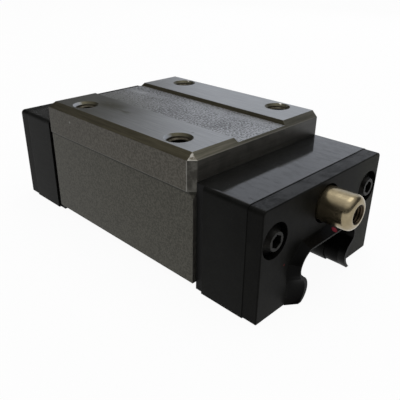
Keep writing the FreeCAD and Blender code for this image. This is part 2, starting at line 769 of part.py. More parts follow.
def top_retainer():
    """The strip under the crown that holds the upper rows on both sides."""
    body = new_body("top_retainer")
    section = new_sketch(body, "top_retainer_section", "YZ_Plane", -steel_end)
    high = underside + size["crown_height"] - size["retainer_gap"]
    rectangle(section, -size["top_half"], high - size["top_thickness"], size["top_half"], high)
    pad(body, section, size["steel_length"])
    channels = new_sketch(body, "top_retainer_channels", "YZ_Plane", steel_end)
    for hand in (-1, 1):
        ring(channels, hand * size["row_half"], row_heights[0], race_radius)
    pocket(body, channels)


def ball_circuit(name, hand, height):
    """One endless row of balls, evenly spaced along its loaded row, its return row and the two
    turnarounds between them."""
    straight = size["steel_length"].value
    turn = turn_radius.value
    half_turn = math.pi * turn
    path_length = 2 * (straight + half_turn)
    apart = (size["ball_diameter"] + size["ball_gap"]).value
    count = int(path_length / (2 * turn * math.asin(apart / (2 * turn))))
    loaded = size["row_half"].value
    balls = []
    for number in range(count):
        along = path_length * number / count
        if along < straight:
            x = along - straight / 2
            y = loaded
        elif along < straight + half_turn:
            angle = (along - straight) / turn
            x = straight / 2 + turn * math.sin(angle)
            y = loaded + turn * (1 - math.cos(angle))
        elif along < 2 * straight + half_turn:
            x = straight / 2 - (along - straight - half_turn)
            y = loaded + 2 * turn
        else:
            angle = (along - 2 * straight - half_turn) / turn
            x = -straight / 2 - turn * math.sin(angle)
            y = loaded + turn * (1 + math.cos(angle))
        balls.append(Part.makeSphere(ball_radius.value, Vector(x, hand * y, height.value)))
    row = doc.addObject("Part::Feature", name)
    row.Label = name
    row.Shape = Part.makeCompound(balls)
    return row


steel_body()
screw = cap_screw()
for word, end in (("front", 1), ("rear", -1)):
    end_cap(f"{word}_end_cap", end)
    end_seal(f"{word}_end_seal", end)
    screw_pair(f"{word}_cap_screws", end, screw)
    for side_word, hand in (("left", 1), ("right", -1)):
        return_guide(f"{word}_{side_word}_return_guide", end, hand * end)
grease_nipple()
lube_plug()
top_retainer()
for side_word, hand in (("left", 1), ("right", -1)):
    retainers_and_seals(side_word, hand)
    ball_circuit(f"upper_{side_word}_balls", hand, row_heights[0])
    ball_circuit(f"lower_{side_word}_balls", hand, row_heights[1])
doc.recompute()

for thing in doc.Objects:
    if "Invalid" in thing.State or "Error" in thing.State:
        raise RuntimeError(f"{thing.Name} failed: {thing.State}")

nodes = [thing for thing in doc.Objects if thing.TypeId in ("PartDesign::Body", "Part::Compound", "Part::Feature")]
nodes.remove(screw)
for node in nodes:
    if node.Shape.isNull() or not node.Shape.isValid():
        raise RuntimeError(f"{node.Label} has no valid shape")
for node in nodes:
    node.Shape.exportStep(f"parts/{node.Label}.step")
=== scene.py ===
"""The looks of a four-row ball carriage for a profiled rail.

X is the direction of travel, with the grease nipple at the +X end, Y is the width and Z is up. The
origin is the centre of the four mounting holes, in the plane of the mounting pads. Blender works in
metres. Lengths and places named here are in millimetres, and MM turns them into metres.
"""
import json
import math

import bpy
import numpy as np
from mathutils import Matrix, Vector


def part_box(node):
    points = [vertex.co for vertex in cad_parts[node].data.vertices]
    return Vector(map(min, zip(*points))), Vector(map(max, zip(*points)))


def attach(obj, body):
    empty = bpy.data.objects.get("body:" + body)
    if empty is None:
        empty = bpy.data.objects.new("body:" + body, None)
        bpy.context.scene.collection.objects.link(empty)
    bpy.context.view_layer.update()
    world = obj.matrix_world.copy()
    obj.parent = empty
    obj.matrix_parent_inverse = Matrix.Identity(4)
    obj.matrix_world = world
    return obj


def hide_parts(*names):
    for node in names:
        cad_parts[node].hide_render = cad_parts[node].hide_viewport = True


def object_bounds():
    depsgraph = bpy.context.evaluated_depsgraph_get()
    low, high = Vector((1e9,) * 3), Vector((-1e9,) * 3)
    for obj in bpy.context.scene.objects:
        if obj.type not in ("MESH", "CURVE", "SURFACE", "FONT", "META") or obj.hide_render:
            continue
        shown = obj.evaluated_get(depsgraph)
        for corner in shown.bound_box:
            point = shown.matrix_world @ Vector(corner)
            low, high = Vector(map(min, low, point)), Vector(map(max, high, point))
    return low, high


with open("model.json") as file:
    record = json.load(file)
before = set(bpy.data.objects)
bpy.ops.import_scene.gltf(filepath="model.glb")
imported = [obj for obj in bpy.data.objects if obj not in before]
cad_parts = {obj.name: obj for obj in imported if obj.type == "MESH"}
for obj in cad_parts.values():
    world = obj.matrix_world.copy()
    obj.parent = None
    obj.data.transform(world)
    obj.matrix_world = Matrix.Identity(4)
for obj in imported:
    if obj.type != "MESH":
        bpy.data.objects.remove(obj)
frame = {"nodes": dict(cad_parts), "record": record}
cad_box = [list(corner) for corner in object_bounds()]

MM = 0.001
TURN = 2 * math.pi

steel_high = np.array(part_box("steel_body")[1]) / MM
cap_low, cap_high = (np.array(corner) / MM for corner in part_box("front_end_cap"))
nipple_low, nipple_high = (np.array(corner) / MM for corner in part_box("grease_nipple"))
pattern = next(mount for mount in frame["record"]["mounts"] if mount["name"] == "top_bolt_pattern")
half_x = pattern["dims"]["spacing_x_mm"] / 2
half_y = pattern["dims"]["spacing_y_mm"] / 2
hole_radius = pattern["dims"]["hole_r_mm"]
nose_bore = next(mount for mount in frame["record"]["mounts"] if mount["name"] == "nipple_bore")

# Places on the solids that the finishes follow.
BAND_HEIGHT = 6.2
RECESS_HALF = 6.6
UNDER_PADS = (-0.5, -0.3)
CHAMFER = 1.1
FACET_FROM = 15.0
COUNTERSINK = (2.6, 2.8)
CAP_NECK = 1.6
SEAL_FACE = 33.4
LEG_INNER_SIDE = (12.0, 13.0)
NIPPLE_HEIGHT = nose_bore["pos_m"][2] / MM
NIPPLE_BORE_WALL = (1.62, 1.74)
NIPPLE_BORE_FROM = (34.0, 34.6)

# Marks that the block carries.
DIMPLE = (12.8, -9.6, 0)
PUNCH_MARK = (-12.9, -17.0, -2.65)
SPECK_ON_LIP = (34.57, 1.5, -13.82)
SPECK_ON_PLATE = (33.4, -10.42, -15.7)

# How squarely a face looks along an axis, from where a finish starts to where it is complete.
FLAT = (0.90, 0.97)
LEVEL = (0.93, 0.985)

# Indexes of refraction. A low one keeps a dark surface from mirroring its bright surroundings.
PLASTIC_IOR = 1.135
RUBBER_IOR = 1.12
OXIDE_IOR = 1.18
OILY_THREAD_IOR = 1.2
SKIN_IOR = 1.5


# ---------------------------------------------------------------- nodes

class Socket:
    """One output of a node. Arithmetic on sockets and numbers adds Math nodes."""

    def __init__(self, nodes, output):
        self.nodes = nodes
        self.output = output

    def math(self, operation, *values):
        return self.nodes.node("ShaderNodeMath", {"operation": operation}, dict(enumerate(values)))

    def __add__(self, other):
        return self.math("ADD", self, other)

    def __radd__(self, other):
        return self.math("ADD", other, self)

    def __sub__(self, other):
        return self.math("SUBTRACT", self, other)

    def __rsub__(self, other):
        return self.math("SUBTRACT", other, self)

    def __mul__(self, other):
        return self.math("MULTIPLY", self, other)

    def __rmul__(self, other):
        return self.math("MULTIPLY", other, self)

    def __neg__(self):
        return self.math("MULTIPLY", self, -1.0)

    def __abs__(self):
        return self.math("ABSOLUTE", self)

    def most(self, other):
        """The larger of two values."""
        return self.math("MAXIMUM", self, other)

    def below(self, limit):
        """1 below a limit and 0 above it."""
        return self.math("LESS_THAN", self, limit)


class Nodes:
    """The node tree of a material or of the world, emptied and built up again."""

    def __init__(self, owner):
        owner.use_nodes = True
        self.tree = owner.node_tree
        self.tree.nodes.clear()

    def node(self, kind, settings=None, inputs=None, output=0):
        """Adds one node: first its settings, a ramp's stops among them, then the values and links of
        its sockets. Returns one of its outputs, if it has any."""
        made = self.tree.nodes.new(kind)
        for key, value in (settings or {}).items():
            if key == "stops":
                for element, (position, colour) in zip(made.color_ramp.elements, value, strict=True):
                    element.position = position
                    element.color = (*colour, 1)
            else:
                setattr(made, key, value)
        for key, value in (inputs or {}).items():
            if isinstance(value, Socket):
                self.tree.links.new(value.output, made.inputs[key])
            else:
                made.inputs[key].default_value = value
        return Socket(self, made.outputs[output]) if made.outputs else None

    def split(self, vector):
        """The three numbers of a vector."""
        outputs = self.node("ShaderNodeSeparateXYZ", {}, {0: vector}).output.node.outputs
        return [Socket(self, outputs[axis]) for axis in range(3)]

    def rays(self):
        """Whether a ray comes from the camera, and whether it is mirrored or goes through glass."""
        camera_ray, glossy_ray, transmission_ray = (
            self.node("ShaderNodeLightPath", output=f"Is {kind} Ray")
            for kind in ("Camera", "Glossy", "Transmission"))
        return camera_ray, glossy_ray.most(transmission_ray)

    def mix(self, mask, first, second):
        """The first colour where the mask is 0 and the second where it is 1."""
        first, second = (colour if isinstance(colour, Socket) else (*colour, 1) for colour in (first, second))
        return self.node("ShaderNodeMix", {"data_type": "RGBA"}, {0: mask, 6: first, 7: second}, 2)


class Finish(Nodes):
    """A material made of nodes. Its coordinates are the piece's own, in millimetres, and its facing
    is the direction in which the surface looks."""

    def __init__(self, name):
        self.material = bpy.data.materials.new(name)
        super().__init__(self.material)
        metres = self.node("ShaderNodeTexCoord", output="Object")
        self.place = self.vector("SCALE", metres, Scale=1 / MM)
        self.x, self.y, self.z = self.split(self.place)
        facing = self.node("ShaderNodeTexCoord", output="Normal")
        self.facing_x, self.facing_y, self.facing_z = self.split(facing)

    def vector(self, operation, *values, output=0, **named):
        return self.node("ShaderNodeVectorMath", {"operation": operation},
                         {**dict(enumerate(values)), **named}, output)

    def stretched(self, x, y, z):
        """The coordinates multiplied by one number along each axis."""
        return self.vector("MULTIPLY", self.place, (x, y, z))

    def noise(self, scale, detail=3.0, roughness=0.55, place=None):
        """Cloudy noise from 0 to 1, with scale waves to the millimetre."""
        return self.node("ShaderNodeTexNoise", {}, {
            "Vector": place or self.place, "Scale": scale, "Detail": detail, "Roughness": roughness})

    def dots(self, scale):
        """Distance from the nearest of many scattered points."""
        return self.node("ShaderNodeTexVoronoi", {}, {"Vector": self.place, "Scale": scale})

    def rise(self, value, low, high):
        """A smooth step: 0 below low and 1 above high."""
        return self.node("ShaderNodeMapRange", {"interpolation_type": "SMOOTHSTEP"},
                         {"Value": value, "From Min": low, "From Max": high})

    def fall(self, value, low, high):
        """A smooth step: 1 below low and 0 above high."""
        return 1 - self.rise(value, low, high)

    def near(self, value, middle, solid, faded):
        """1 up to one distance from a middle, fading to 0 at another distance."""
        return self.fall(abs(value - middle), solid, faded)

    def spot(self, middle, radius, soft):
        """1 inside a ball round a point and 0 outside it."""
        distance = self.vector("DISTANCE", self.place, middle, output="Value")
        return self.fall(distance, radius - soft, radius + soft)

    def shade(self, colour, amount):
        """A colour made darker or lighter by a factor near 1."""
        return self.vector("SCALE", colour, Scale=amount)

    def bump(self, height, depth, normal=None):
        """A relief of the given depth in millimetres, laid over another normal."""
        inputs = {"Height": height, "Distance": depth * MM, "Strength": 1.0}
        if normal:
            inputs["Normal"] = normal
        return self.node("ShaderNodeBump", {}, inputs)

    def rounded(self, radius):
        """The normal of edges that are rounded by a small radius in millimetres."""
        return self.node("ShaderNodeBevel", {"samples": 6}, {"Radius": radius * MM})

    def surface(self, **sockets):
        """The shader itself, led to the output. Returns the material."""
        values = {name.replace("_", " "): value for name, value in sockets.items()}
        return self.output(self.node("ShaderNodeBsdfPrincipled", {}, values))

    def output(self, shader):
        self.node("ShaderNodeOutputMaterial", {}, {"Surface": shader})
        return self.material


# ---------------------------------------------------------------- finishes of the steel body

def pad_steel(f, stain_and_shade, lines):
    """The ground pads: bright, with fine lines along the travel. The rear end of the pad on the -Y side
    is darker, partly an oil stain and partly painted shade; a brown smear and its trail lie in front of
    the hole there."""
    clean, oiled_and_shaded = (0.270, 0.276, 0.281), (0.080, 0.080, 0.067)
    brown, pit = (0.045, 0.042, 0.022), (0.07, 0.07, 0.07)
    ragged = f.noise(0.9, roughness=0.6, place=f.stretched(0.4, 2.2, 1))
    smear = f.near(f.x, -9.2, 1.0, 5.0) * f.near(f.y, -9.8, 0.4, 2.6) * f.rise(ragged, 0.25, 0.5)
    trail = f.near(f.x, -4.8, 0.3, 3.5) * f.near(f.y, -10.5, 0.1, 0.9) * f.rise(ragged, 0.40, 0.55)
    # Darker towards the rear on the -Y side: partly an oil stain, partly painted shade.
    colour = f.mix(stain_and_shade * 0.92, clean, oiled_and_shaded)
    colour = f.mix(smear.most(trail) * 0.85, colour, brown)
    colour = f.mix(f.spot(DIMPLE, 0.22, 0.14) * 0.6, colour, pit)
    return f.shade(colour, 0.88 + f.rise(lines, 0.32, 0.68) * 0.22)


def recess_steel(f, stain_and_shade, cloud):
    """The rough floor between the pads: grey with close dark grains. Smoother pale streaks wander
    along it, and a rubbed patch is at its rear."""
    ground, grain = (0.34, 0.347, 0.358), (0.088, 0.089, 0.092)
    smooth, rub_and_highlight, oiled_and_shaded = (0.29, 0.296, 0.305), (0.42, 0.43, 0.45), (0.10, 0.10, 0.085)
    grains = f.rise(f.noise(2.7, roughness=0.7) + (cloud - 0.5) * 0.2, 0.42, 0.60)
    across_streak = f.y - 3.6 - f.x * 0.06 + (cloud - 0.5) * 2.5
    streak = f.fall(abs(across_streak), 0.1, 1.7) * f.rise(f.noise(0.35), 0.35, 0.6)
    patch = f.near(f.x, -15.6, 0.8, 2.6) * f.near(f.y, 2.4, 0.2, 1.3) * f.rise(f.noise(1.1), 0.3, 0.6)
    colour = f.mix(grains, ground, grain)
    colour = f.mix(streak * 0.7, colour, smooth)
    colour = f.mix(patch * 0.8, colour, rub_and_highlight)
    # Darker towards the rear on the -Y side: partly an oil stain, partly painted shade.
    return f.mix(stain_and_shade * 0.6, colour, oiled_and_shaded)


def band_steel(f, speckled, patches):
    """The ground band along each side, with a painted highlight along its lower edge and its front
    edge, and one punch mark. It gets a little darker towards the rear."""
    dark, light = (0.052, 0.048, 0.039), (0.096, 0.089, 0.074)
    lower_edge_highlight, front_edge_highlight, punched = (0.16, 0.155, 0.14), (0.26, 0.255, 0.24), (0.22, 0.22, 0.21)
    front_edge = steel_high[0] - CHAMFER
    # Painted highlights: a thin pale line along the band's lower edge and another at its front end.
    lower_highlight_mask = f.fall(f.z, -BAND_HEIGHT + 0.03, -BAND_HEIGHT + 0.17)
    front_highlight_mask = f.rise(f.x + (patches - 0.5) * 0.5, front_edge - 0.30, front_edge - 0.10)
    colour = f.mix(speckled, dark, light)
    colour = f.mix(lower_highlight_mask * 0.5, colour, lower_edge_highlight)
    colour = f.mix(front_highlight_mask * 0.6, colour, front_edge_highlight)
    colour = f.shade(colour, 1 - f.fall(f.x, -18.0, 2.0) * 0.14)
    return f.mix(f.spot(PUNCH_MARK, 0.22, 0.14) * 0.6, colour, punched)


def side_steel(f, speckled):
    """The blasted side below the band, with a painted shadow line right under the band's ledge."""
    dark, light, line = (0.042, 0.040, 0.032), (0.076, 0.073, 0.059), (0.022, 0.022, 0.018)
    # Painted shadow: the dark line just under the ledge of the band.
    under = f.rise(f.z, -BAND_HEIGHT - 0.5, -BAND_HEIGHT - 0.3)
    return f.mix(under * 0.75, f.mix(speckled, dark, light), line)


def end_chamfer_steel(f, mill):
    """The milled chamfer at each end: paler on the -Y side, with a painted highlight along its lower edge."""
    dark, light, rub_and_highlight = (0.070, 0.065, 0.047), (0.118, 0.110, 0.085), (0.24, 0.23, 0.20)
    colour = f.mix(f.rise(mill, 0.3, 0.7), dark, light)
    colour = f.shade(colour, 1.0 + f.fall(f.y, -14.0, 2.0) * 0.45)
    # Painted highlight along the chamfer's lower edge.
    return f.mix(f.fall(f.z, -CHAMFER + 0.05, -CHAMFER + 0.2) * 0.45, colour, rub_and_highlight)


def end_steel(f, mill, patches):
    """The end faces: milled and patchy, with painted shade darkening the +Y side of the front one."""
    dark, light = (0.045, 0.043, 0.037), (0.085, 0.081, 0.070)
    colour = f.mix(f.rise(mill, 0.3, 0.7) * 0.6 + f.rise(patches, 0.4, 0.6) * 0.4, dark, light)
    # Painted shade on the +Y side of the front end face.
    return f.shade(colour, 1 - f.rise(f.y, 3.0, 16.0) * f.rise(f.x, 0, 1.0) * 0.75)


def facet_steel(f):
    """The small three-sided facets where the chamfers meet: a painted highlight in patches and at their foot.
    """
    dull, bright = (0.19, 0.17, 0.13), (0.55, 0.53, 0.48)
    # Painted highlight at the foot of each facet and in patches over it.
    foot = f.fall(f.z, -CHAMFER, -CHAMFER + 0.25)
    highlight_patches = f.rise(f.noise(1.6, roughness=0.7), 0.42, 0.58).most(foot * 0.9)
    return f.mix(highlight_patches, dull, bright)


def mouth_steel(f):
    """The countersinks of the mounting holes. On the -Y side their slope that faces forwards and
    inwards carries a painted highlight."""
    dull, bright = (0.07, 0.064, 0.042), (0.30, 0.31, 0.32)
    # Painted highlight on the slope of the countersink that faces +X and +Y.
    rub_and_highlight = f.rise(f.facing_x + f.facing_y, 0.45, 0.85) * f.fall(f.y, -1.0, 1.0)
    return f.mix(rub_and_highlight, dull, bright)


def ground_steel():
    """Hardened steel. The pads are ground, the recess between them is rough and dark-grained, the
    reference band is ground, the sides below it keep a fine blasted grain and the chamfers are
    milled. Each finish is laid over the ones before it."""
    f = Finish("ground_steel")
    fine = f.noise(4.0, detail=4.0, roughness=0.7)
    cloud = f.noise(0.12, roughness=0.5)
    patches = f.noise(0.45, roughness=0.6)
    lines = f.noise(1.0, roughness=0.65, place=f.stretched(0.12, 2.4, 2.4))
    mill = f.noise(1.0, roughness=0.65, place=f.stretched(2.6, 0.15, 2.6))
    speckled = f.rise(f.noise(2.9, roughness=0.65), 0.35, 0.65)
    # Where the rear on the -Y side is darker: partly an oil stain and partly painted shade.
    stain_and_shade = f.fall(f.x + f.y * 0.35 + (cloud - 0.5) * 7, -17.0, 2.0) * f.fall(f.y, -5.0, 4.0)

    top = f.rise(f.facing_z, *FLAT)
    across = f.rise(abs(f.facing_y), *FLAT)
    along = f.rise(abs(f.facing_x), *FLAT)
    pad = top * f.rise(f.z, *UNDER_PADS)
    recess = top * f.fall(f.z, *UNDER_PADS) * f.fall(abs(f.y), RECESS_HALF, RECESS_HALF + 0.05)
    above_band_edge = f.rise(f.z, -BAND_HEIGHT - 0.05, -BAND_HEIGHT + 0.05)
    band = across * above_band_edge
    lower = across * (1 - above_band_edge)
    chamfer = (1 - top - across - along).most(0) * f.rise(f.z, -CHAMFER - 0.2, -CHAMFER)
    end_chamfer = chamfer * f.rise(abs(f.facing_x), 0.5, 0.65)
    hole_distance = f.vector("LENGTH", f.vector(
        "SUBTRACT", f.vector("ABSOLUTE", f.stretched(1, 1, 0)), (half_x, half_y, 0)), output="Value")
    mouth = chamfer * f.fall(hole_distance, *COUNTERSINK)
    corner = f.rise(abs(f.facing_x * f.facing_y), 0.25, 0.4)
    three_sided = f.rise(abs(f.facing_x * f.facing_y * f.facing_z), 0.08, 0.12)
    slanted = three_sided * f.rise(abs(f.y), FACET_FROM, FACET_FROM + 0.2)
    facet = slanted * f.rise(f.z, -CHAMFER - 0.5, -CHAMFER - 0.3)

    side_colour = side_steel(f, speckled)
    milled = f.mix(f.rise(lines, 0.3, 0.7), (0.068, 0.060, 0.038), (0.108, 0.096, 0.063))
    blotched = f.mix(f.rise(patches, 0.4, 0.62), (0.036, 0.034, 0.029), (0.085, 0.082, 0.072))
    colour = end_steel(f, mill, patches)
    for mask, layer in (
            (pad, pad_steel(f, stain_and_shade, lines)),
            (recess, recess_steel(f, stain_and_shade, cloud)),
            (band, band_steel(f, speckled, patches)),
            (lower, side_colour),
            (chamfer, milled),
            (end_chamfer, end_chamfer_steel(f, mill)),
            (mouth, mouth_steel(f)),
            (corner, blotched),
            (slanted, side_colour),
            (facet, facet_steel(f))):
        colour = f.mix(mask, colour, layer)

    rough = 0.39 + recess * 0.09 + (band + lower) * 0.11 + (fine - 0.5) * 0.12
    relief = (fine - 0.5) * (0.25 + recess * 1.2 + lower * 0.8 + band * 0.6)
    return f.surface(Base_Color=colour, Metallic=0.85 - along * 0.5, Roughness=rough,
                     Normal=f.bump(relief, 0.02, f.rounded(0.12)))


# ---------------------------------------------------------------- finishes of the other pieces

def thread_steel():
    """Cut threads: brownish near the mouth, and painted nearly black further down as shade deep in the hole.
    """
    f = Finish("thread_steel")
    dark, brown, deep_shade = (0.045, 0.039, 0.026), (0.10, 0.09, 0.068), (0.008, 0.0075, 0.006)
    colour = f.mix(f.rise(f.noise(1.5), 0.35, 0.7), dark, brown)
    # Painted shade: the thread turns nearly black further down the hole.
    colour = f.mix(f.fall(f.z, -1.7, -0.6), colour, deep_shade)
    return f.surface(Base_Color=colour, Metallic=0.6, Roughness=0.4 + f.noise(3.0) * 0.15,
                     IOR=OILY_THREAD_IOR)


def moulded_plastic(name, dark, light, polish):
    """Black moulded plastic with a fine spark-eroded grain, faint drag marks and a little dust. Faces
    that look up are smoother, under a clear skin of the given weight. The skin ends short of the seam
    against the seal. The side of the front cap's neck, facing -Y, is a little paler: painted light."""
    f = Finish(name)
    dust_colour, neck_painted_light = (0.09, 0.09, 0.085), (0.016, 0.016, 0.016)
    cloud = f.noise(0.25, detail=4.0, roughness=0.6)
    grain = f.noise(3.2, roughness=0.6)
    drag = f.noise(1.0, detail=2.0, roughness=0.5, place=f.stretched(0.3, 5.0, 5.0))
    dull = f.rise(f.noise(1.0, roughness=0.6, place=f.stretched(0.5, 1.6, 1)), 0.45, 0.7)
    neck = f.rise(f.x, steel_high[0] - 0.1, steel_high[0]) \
        * f.fall(f.x, cap_low[0] + CAP_NECK, cap_low[0] + CAP_NECK + 0.1)
    seam = f.fall(cap_high[0] - abs(f.x), 0.10, 0.22)
    colour = f.mix(f.rise(cloud * 0.6 + grain * 0.4, 0.38, 0.62), dark, light)
    colour = f.mix(f.fall(f.dots(0.55), 0.02, 0.07) * 0.15, colour, dust_colour)
    # Painted light on the side of the front cap's neck that faces -Y.
    colour = f.mix(neck * f.rise(-f.facing_y, *FLAT), colour, neck_painted_light)
    skin = f.rise(f.facing_z, *LEVEL) * polish * (1 - dull * 0.22) * (1 - seam)
    return f.surface(Base_Color=colour, Roughness=0.45 + (cloud - 0.5) * 0.12 + (drag - 0.5) * 0.10,
                     IOR=PLASTIC_IOR, Coat_Weight=skin, Coat_Roughness=0.08, Coat_IOR=SKIN_IOR,
                     Normal=f.bump(grain - 0.5, 0.012, f.rounded(0.16)))


def seal_rubber():
    """The end seals: a hard black plate with blotches, dusty on the +Y side of the front, and a smoother
    lip. The lip and the inner sides of the legs are darker with painted shade. Two small specks of red
    paint are on the front one, below the nipple and beside the opening. Faces that look up have a
    patchy skin."""
    f = Finish("seal_rubber")
    dark, light, blotch = (0.0040, 0.0040, 0.0034), (0.0075, 0.0075, 0.0066), (0.011, 0.011, 0.010)
    dust_colour, lip_and_passage_shade = (0.023, 0.024, 0.0165), (0.0032, 0.0031, 0.0028)
    red, faint_red = (0.36, 0.03, 0.055), (0.12, 0.02, 0.02)
    cloud = f.noise(0.3, detail=4.0, roughness=0.6)
    grain = f.noise(3.0, roughness=0.6)
    outer = f.rise(abs(f.facing_x), 0.6, 0.9)
    dusty = outer * f.rise(f.y + (cloud - 0.5) * 6, 8.0, 13.0) * f.rise(f.x, 0, 1.0)
    lip = f.rise(f.x * f.facing_x, SEAL_FACE + 0.1, SEAL_FACE + 0.4).most(
        f.rise(abs(f.x), SEAL_FACE + 0.1, SEAL_FACE + 0.3))
    inner = f.rise(abs(f.facing_y), 0.5, 0.8) * f.fall(abs(f.y), *LEG_INNER_SIDE)
    colour = f.mix(f.rise(cloud * 0.6 + grain * 0.4, 0.38, 0.62), dark, light)
    colour = f.mix(outer * f.rise(cloud, 0.4, 0.6) * 0.5, colour, blotch)
    colour = f.mix(dusty * f.rise(grain, 0.3, 0.7), colour, dust_colour)
    # Painted shade: the lip and the inner sides of the legs, in the rail passage, are darker.
    colour = f.mix(lip.most(inner), colour, lip_and_passage_shade)
    colour = f.mix(f.spot(SPECK_ON_LIP, 0.48, 0.16), colour, red)
    colour = f.mix(f.spot(SPECK_ON_PLATE, 0.16, 0.1), colour, faint_red)
    patchy = 0.09 + f.rise(cloud * 0.5 + grain * 0.5, 0.42, 0.58) * 0.24
    return f.surface(Base_Color=colour, Roughness=0.45 - lip * 0.12 + (cloud - 0.5) * 0.15,
                     IOR=RUBBER_IOR, Coat_Weight=f.rise(f.facing_z, *LEVEL) * patchy,
                     Coat_Roughness=0.25, Coat_IOR=SKIN_IOR,
                     Normal=f.bump(grain - 0.5, 0.012, f.rounded(0.12)))


def black_oxide():
    """Screws and plug: blackened steel, cloudy and slightly rough."""
    f = Finish("black_oxide")
    cloud = f.noise(1.2, roughness=0.6)
    colour = f.mix(f.rise(cloud, 0.4, 0.7), (0.006, 0.0058, 0.0050), (0.014, 0.0130, 0.0112))
    return f.surface(Base_Color=colour, Metallic=0.5, Roughness=0.40 + (cloud - 0.5) * 0.15,
                     IOR=OXIDE_IOR, Normal=f.bump(f.noise(6.0) - 0.5, 0.01, f.rounded(0.08)))


def plated_steel():
    """The nipple: bright turned plating with a warm tint, haze, and fine rings from the tool. Inside
    its bore it is brown with old grease."""
    f = Finish("plated_steel")
    dark, light, greasy = (0.25, 0.205, 0.126), (0.36, 0.300, 0.194), (0.05, 0.036, 0.022)
    rings = f.noise(1.0, detail=2.0, roughness=0.6, place=f.stretched(7.0, 0.4, 0.4))
    haze = f.noise(0.6, roughness=0.6)
    streaks = f.rise(f.noise(1.0, roughness=0.65, place=f.stretched(0.3, 3.2, 3.2)), 0.36, 0.64)
    from_axis = f.vector("DISTANCE", f.stretched(0, 1, 1), (0, 0, NIPPLE_HEIGHT), output="Value")
    inside = f.fall(from_axis, *NIPPLE_BORE_WALL) * f.rise(f.x, *NIPPLE_BORE_FROM)
    colour = f.mix(streaks * 0.3 + f.rise(haze, 0.35, 0.7) * 0.7, dark, light)
    colour = f.mix(inside, colour, greasy)
    rough = 0.19 + (haze - 0.5) * 0.10 + streaks * 0.05 + inside * 0.2
    return f.surface(Base_Color=colour, Metallic=0.92, Roughness=rough, Normal=f.bump(rings - 0.5, 0.0008))


def ball_steel():
    """Polished bearing balls under a thin film of oil."""
    f = Finish("ball_steel")
    film = f.noise(0.8, detail=2.0, roughness=0.5)
    colour = f.mix(f.rise(film, 0.4, 0.7), (0.60, 0.60, 0.61), (0.70, 0.69, 0.66))
    return f.surface(Base_Color=colour, Metallic=1.0, Roughness=0.08 + film * 0.1)


# ---------------------------------------------------------------- pieces

def add_object(name, data):
    """A new object in the scene."""
    thing = bpy.data.objects.new(name, data)
    bpy.context.scene.collection.objects.link(thing)
    return thing


def grid_piece(name, points, finish):
    """A mesh of four-sided faces on grids of points, given as shapes x rows x columns x 3 in
    millimetres. Each grid's rows and columns close on themselves."""
    shapes, rows, columns, _ = points.shape
    row, column = (index.ravel() for index in np.indices((rows, columns)))
    next_row, next_column = (row + 1) % rows, (column + 1) % columns
    corners = np.stack([row * columns + column, next_row * columns + column,
                        next_row * columns + next_column, row * columns + next_column], 1)
    faces = np.concatenate([corners + shape * rows * columns for shape in range(shapes)])
    mesh = bpy.data.meshes.new(name)
    mesh.from_pydata((points.reshape(-1, 3) * MM).tolist(), [], faces.tolist())
    mesh.polygons.foreach_set("use_smooth", np.ones(len(faces), bool))
    mesh.update()
    piece = add_object(name, mesh)
    mesh.materials.append(finish)
    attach(piece, "root")
    return piece


def thread_ridge(turns):
    """Height from 0 to 1 of a V thread with cut-off crests, at a place counted in turns."""
    saw = np.abs((turns % 1) * 2 - 1)
    return np.clip(1.25 * saw - 0.08, 0, 1)


def tapped_walls(centres):
    """Threads in upright holes. Across one wall the surface runs down the inside, where its radius is
    the major radius less the ridge at (height / pitch + angle / full turn), and back up the outside.
    The ridge fades in over the first half turn."""
    pitch, ridge, wall, clearance = 0.7, 0.36, 0.02, 0.04
    top, bottom = -0.47, -5.95
    steps_around, steps_per_pitch = 64, 12
    major = hole_radius - clearance
    angles = np.linspace(0, TURN, steps_around, endpoint=False)
    heights = np.linspace(top, bottom, int((top - bottom) / pitch * steps_per_pitch))
    turn, height = np.meshgrid(angles, heights, indexing="ij")
    fade = np.clip((top - height) / (0.5 * pitch), 0, 1)
    inner = major - ridge * fade * thread_ridge(height / pitch + turn / TURN)
    outer = np.full((len(angles), 2), major + wall)
    radius = np.concatenate([inner, outer], 1)
    level = np.concatenate([height, np.tile([bottom, top], (len(angles), 1))], 1)
    around = np.repeat(angles[:, None], radius.shape[1], 1)
    walls = np.stack([radius * np.cos(around), radius * np.sin(around), level], 2)
    return np.stack([walls + np.array([x, y, 0]) for x, y in centres])


